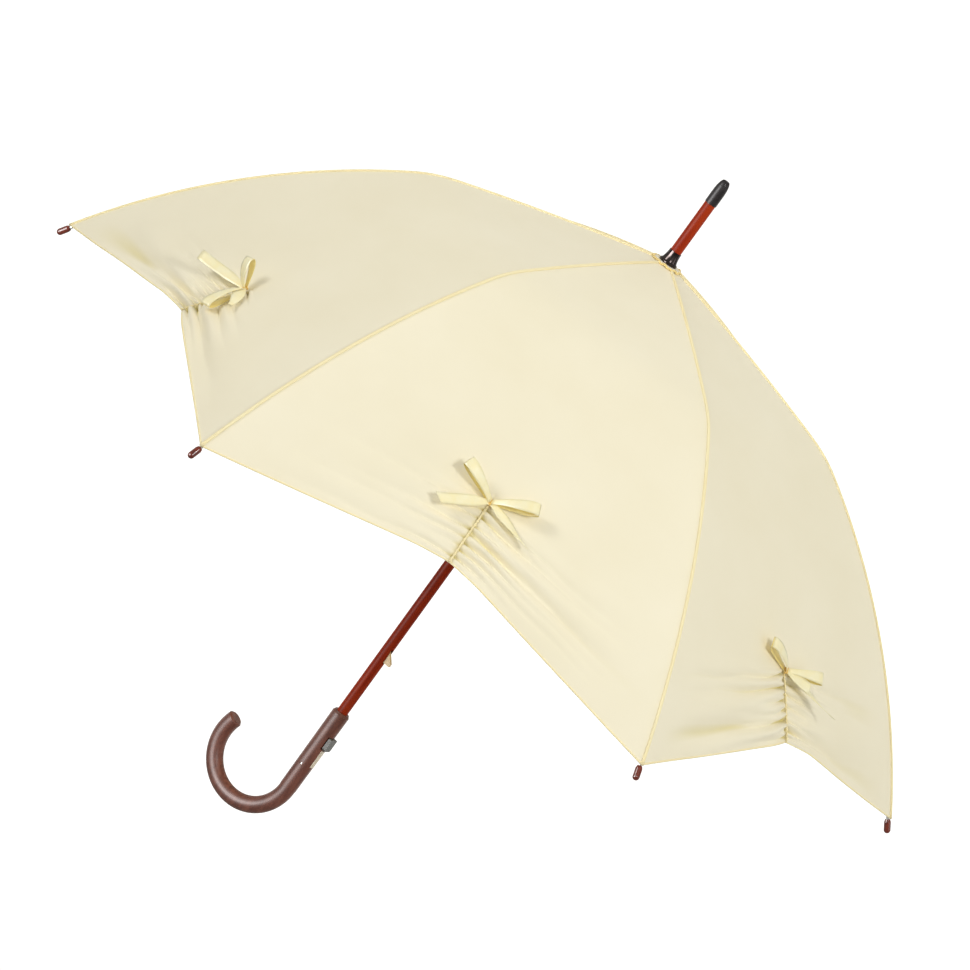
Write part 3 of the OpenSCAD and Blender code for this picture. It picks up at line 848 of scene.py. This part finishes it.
def make_camera():
    """A long lens, looking down a little, rolled so that the shaft leans to the right."""
    right = turned((1, 0, 0))
    up = turned((0, math.sin(VIEW_DOWN), math.cos(VIEW_DOWN)))
    back = turned((0, -math.cos(VIEW_DOWN), math.sin(VIEW_DOWN)))
    cam_x = right * math.cos(VIEW_ROLL) - up * math.sin(VIEW_ROLL)
    cam_y = right * math.sin(VIEW_ROLL) + up * math.cos(VIEW_ROLL)
    crown = Vector((0, 0, CROWN[1]))
    place = crown - cam_x * VIEW_SHIFT[0] - cam_y * VIEW_SHIFT[1] + back * VIEW_FAR
    data = bpy.data.cameras.new("camera")
    data.lens, data.clip_end = LENS, 100
    made = bpy.data.objects.new("camera", data)
    made.matrix_world = Matrix((cam_x, cam_y, back)).transposed().to_4x4()
    made.matrix_world.translation = place
    bpy.context.scene.collection.objects.link(made)
    bpy.context.scene.camera = made


def area_light(name, place, size, power, target=(0, 0, 0.3), lights_cloth=True, warm=0.97):
    """A rectangular light. With lights_cloth off it shows only in reflections."""
    data = bpy.data.lights.new(name, "AREA")
    data.shape = "RECTANGLE"
    data.size, data.size_y = size
    data.energy = power
    made = bpy.data.objects.new(name, data)
    data.color = (1, 0.5 + 0.5 * warm, warm)
    made.location = turned(place)
    made.visible_diffuse = lights_cloth
    way = turned(target) - made.location
    made.rotation_euler = way.to_track_quat("-Z", "Y").to_euler()
    bpy.context.scene.collection.objects.link(made)


def floor_paint():
    """A floor that glows white behind the umbrella and is grey in front of it."""
    p = Paint("floor", 0.9, Specular_IOR_Level=0.0, Emission_Color=(1, 1, 1, 1))
    place = p.node("ShaderNodeSeparateXYZ")
    p.link(p.place(), place.inputs["Vector"])
    edge = p.node("ShaderNodeMapRange", interpolation_type="SMOOTHSTEP")
    p.link(place.outputs["Y"], edge.inputs["Value"])
    for socket, value in (("From Min", 0.3), ("From Max", 2.3), ("To Min", 0.04), ("To Max", 1.0)):
        edge.inputs[socket].default_value = value
    glow = p.node("ShaderNodeMath", operation="MULTIPLY")
    p.link(edge.outputs["Result"], glow.inputs[0])
    glow.inputs[1].default_value = FLOOR_GLOW
    p.link(glow.outputs["Value"], p.shader.inputs["Emission Strength"])
    p.colour(edge.outputs["Result"], [(0.0, (0.4, 0.4, 0.4, 1)), (1.0, (0.9, 0.9, 0.9, 1))])
    return p.material


def make_stage():
    """A wide white floor well under the umbrella, a white world and soft lights."""
    MAT["floor"] = floor_paint()
    low = cad_box[0][2] - FLOOR_DROP
    size = FLOOR_HALF
    floor = make_mesh("floor", [(-size, -size, 0), (size, -size, 0), (size, size, 0),
                                (-size, size, 0)], [(0, 1, 2, 3)], "floor")
    floor.location = (0, 0, low)
    floor.rotation_euler = (0, 0, panel_angle(2) + math.pi / 2)
    world = bpy.data.worlds.new("world")
    world.use_nodes = True
    world.node_tree.nodes["Background"].inputs["Color"].default_value = (1, 0.985, 0.92, 1)
    world.node_tree.nodes["Background"].inputs["Strength"].default_value = WORLD_GLOW
    bpy.context.scene.world = world
    bpy.context.scene.view_settings.view_transform = "Standard"
    area_light("key", (1.3, -3.1, 2.2), (0.6, 0.6), KEY, warm=1.0)
    area_light("fill", (-2.7, -1.9, 1.5), (0.9, 0.9), FILL)
    area_light("top", (0.5, 1.2, 3.0), (1.6, 1.6), TOP)
    area_light("side", (3.0, -0.9, 1.3), (1.2, 1.2), SIDE)
    area_light("glint", (-2.0, -2.1, -0.2), (2.0, 2.4), GLINT, (0, 0, 0.1), False, 1.0)


make_camera()
make_stage()
finish_frame()
make_canopy()
make_rosette_edge()
